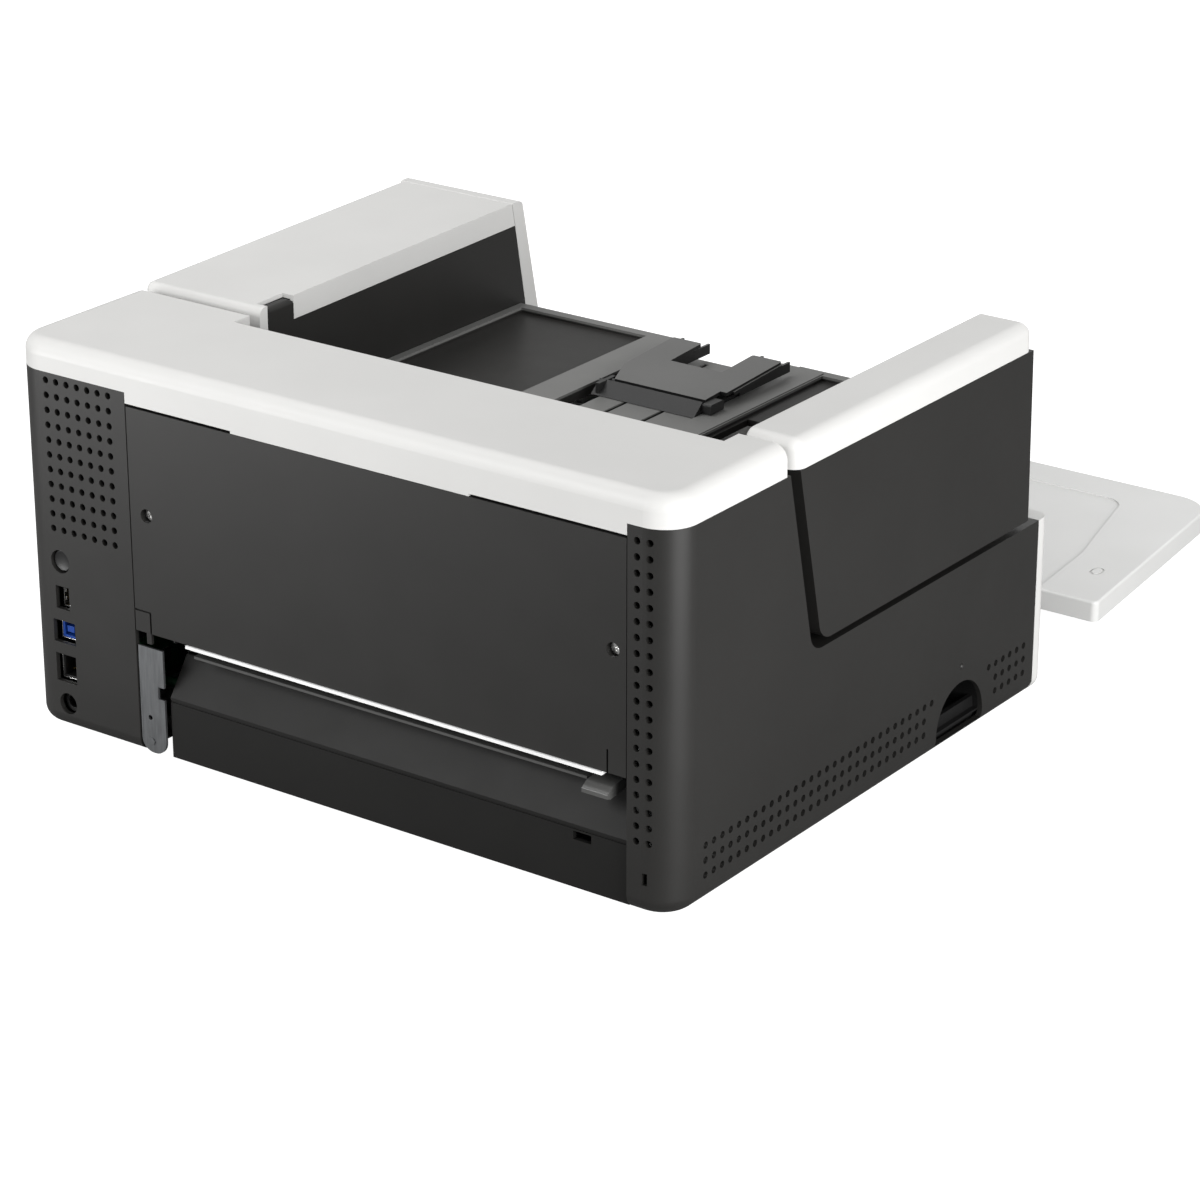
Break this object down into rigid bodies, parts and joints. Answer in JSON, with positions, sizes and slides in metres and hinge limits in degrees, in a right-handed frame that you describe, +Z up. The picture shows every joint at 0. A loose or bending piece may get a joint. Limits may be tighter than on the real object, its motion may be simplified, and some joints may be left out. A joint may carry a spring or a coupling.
{
  "type": "sheet fed document scanner",
  "caption": "Desktop sheet-fed document scanner with a hinged access cover, output deck with a flip-up stop, input elevator with a folding tray, and a straight rear exit.",
  "frame": {"origin": "on the desk plane, in the middle of the whole machine including the input tray", "axes": "+X to the machine's right seen from the front, +Y to the rear, +Z up"},
  "size_m": [0.46, 0.6754, 0.2465],
  "materials": {
    "light_grey": "satin",
    "tray_grey": "satin",
    "charcoal": "satin",
    "deck_black": "matte",
    "inner_black": "matte",
    "guide_grey": "satin",
    "lip_white": "gloss",
    "gate_grey": "gloss",
    "sheet_steel": "brushed",
    "screw_steel": "polished",
    "bush_brass": "satin",
    "rubber": "matte",
    "feed_rubber": "matte",
    "glass": "polished",
    "screen": "gloss",
    "board_green": "satin",
    "port_shell": "matte"
  },
  "bodies": {
    "body": {"left_side_panel": "charcoal", "right_side_panel": "charcoal", "right_rear_column": "charcoal", "handle_cups": "inner_black", "rear_top_cover": "light_grey", "rear_panel": "charcoal", "panel_screws": "screw_steel", "exit_lip": "lip_white", "rear_base_cover": "charcoal", "frame_bracket": "sheet_steel", "output_slot_panel": "inner_black", "turn_guides": "inner_black", "base_pan": "sheet_steel", "feet": "rubber", "frame_plate_left": "sheet_steel", "frame_plate_right": "sheet_steel", "shaft_bushes": "bush_brass", "hinge_pins": "screw_steel", "guide_rods": "screw_steel", "lower_paper_guide": "guide_grey", "lower_image_module": "inner_black", "lower_glass": "glass", "drive_motor": "sheet_steel", "drive_belt": "rubber", "front_bezel": "light_grey", "rear_sockets": "port_shell", "main_board": "board_green"},
    "access_cover": {"left_pod_housing": "charcoal", "right_pod_housing": "charcoal", "left_pod_cover": "light_grey", "right_pod_cover": "light_grey", "screen_bezel": "light_grey", "touch_screen": "screen", "front_cover": "light_grey", "output_deck": "deck_black", "upper_paper_guide": "guide_grey", "upper_image_module": "inner_black", "upper_glass": "glass", "hinge_arms": "sheet_steel"},
    "front_roller": {"front_roller_shaft": "screw_steel", "front_roller_tires": "rubber"},
    "mid_roller": {"mid_roller_shaft": "screw_steel", "mid_roller_tires": "rubber"},
    "output_roll": {"output_roller": "rubber"},
    "output_pinch": {"output_pinch_roller": "guide_grey"},
    "separation_roll": {"separation_roller": "feed_rubber"},
    "motor_rotor": {"motor_pulley": "sheet_steel"},
    "pinch_front": {"pinch_roller_front": "guide_grey"},
    "pinch_mid": {"pinch_roller_mid": "guide_grey"},
    "feed_roll": {"feed_roller": "feed_rubber"},
    "stop_slider": {"stop_carriage": "deck_black"},
    "stop_flap": {"stop_plate": "deck_black"},
    "elevator": {"elevator_platform": "charcoal"},
    "guide_left": {"input_guide_left": "light_grey"},
    "guide_right": {"input_guide_right": "light_grey"},
    "tray_inner": {"input_tray": "charcoal"},
    "tray_outer": {"tray_extension": "tray_grey"},
    "exit_selector": {"exit_gate": "gate_grey", "gate_lever": "gate_grey"},
    "button": {"power_button": "port_shell"}
  },
  "joints": [
    {"name": "cover_hinge", "type": "hinge", "parent": "body", "child": "access_cover", "pos_m": [-0.028, 0.25625, 0.226], "axis": [-1, 0, 0], "range_deg": [0, 35]},
    {"name": "front_roller_spin", "type": "hinge", "parent": "body", "child": "front_roller", "pos_m": [-0.028, 0.09825, 0.062], "axis": [1, 0, 0], "continuous": true},
    {"name": "mid_roller_spin", "type": "hinge", "parent": "body", "child": "mid_roller", "pos_m": [-0.028, 0.19825, 0.062], "axis": [1, 0, 0], "continuous": true},
    {"name": "output_roller_spin", "type": "hinge", "parent": "body", "child": "output_roll", "pos_m": [-0.028, 0.26225, 0.19], "axis": [1, 0, 0], "continuous": true},
    {"name": "output_pinch_spin", "type": "hinge", "parent": "body", "child": "output_pinch", "pos_m": [-0.028, 0.26225, 0.208], "axis": [1, 0, 0], "continuous": true},
    {"name": "separation_roller_spin", "type": "hinge", "parent": "body", "child": "separation_roll", "pos_m": [-0.028, 0.06025, 0.062], "axis": [1, 0, 0], "continuous": true},
    {"name": "motor_spin", "type": "hinge", "parent": "body", "child": "motor_rotor", "pos_m": [-0.028, 0.14825, 0.03], "axis": [1, 0, 0], "continuous": true},
    {"name": "pinch_front_spin", "type": "hinge", "parent": "access_cover", "child": "pinch_front", "pos_m": [-0.028, 0.09825, 0.086], "axis": [1, 0, 0], "continuous": true},
    {"name": "pinch_mid_spin", "type": "hinge", "parent": "access_cover", "child": "pinch_mid", "pos_m": [-0.028, 0.19825, 0.086], "axis": [1, 0, 0], "continuous": true},
    {"name": "feed_roller_spin", "type": "hinge", "parent": "access_cover", "child": "feed_roll", "pos_m": [-0.028, 0.03025, 0.093], "axis": [1, 0, 0], "continuous": true},
    {"name": "stop_slide", "type": "slide", "parent": "access_cover", "child": "stop_slider", "axis": [0, 1, 0], "range_m": [0, 0.1]},
    {"name": "stop_flip", "type": "hinge", "parent": "stop_slider", "child": "stop_flap", "pos_m": [-0.028, 0.07075, 0.1848], "axis": [-1, 0, 0], "range_deg": [0, 85]},
    {"name": "elevator_lift", "type": "slide", "parent": "body", "child": "elevator", "axis": [0, 0, 1], "range_m": [0, 0.05]},
    {"name": "left_guide_slide", "type": "slide", "parent": "elevator", "child": "guide_left", "axis": [1, 0, 0], "range_m": [0, 0.07]},
    {"name": "right_guide_slide", "type": "slide", "parent": "elevator", "child": "guide_right", "axis": [-1, 0, 0], "range_m": [0, 0.07]},
    {"name": "tray_fold", "type": "hinge", "parent": "elevator", "child": "tray_inner", "pos_m": [-0.028, -0.06875, 0.0165], "axis": [-1, 0, 0], "range_deg": [0, 90]},
    {"name": "tray_slide", "type": "slide", "parent": "tray_inner", "child": "tray_outer", "axis": [0, 1, 0], "range_m": [0, 0.06]},
    {"name": "exit_select", "type": "hinge", "parent": "body", "child": "exit_selector", "pos_m": [-0.028, 0.31525, 0.0692], "axis": [1, 0, 0], "range_deg": [0, 18]},
    {"name": "power_press", "type": "slide", "parent": "body", "child": "button", "axis": [0, -1, 0], "range_m": [0, 0.0015], "stiffness_N_per_m": 600, "springref_m": -0.0005}
  ],
  "couplings": [
    {"joint": "mid_roller_spin", "follows": "front_roller_spin", "ratio": 1},
    {"joint": "motor_spin", "follows": "front_roller_spin", "ratio": 1.5},
    {"joint": "output_roller_spin", "follows": "front_roller_spin", "ratio": -1.3333},
    {"joint": "output_pinch_spin", "follows": "front_roller_spin", "ratio": 1.4118},
    {"joint": "right_guide_slide", "follows": "left_guide_slide", "ratio": 1}
  ]
}
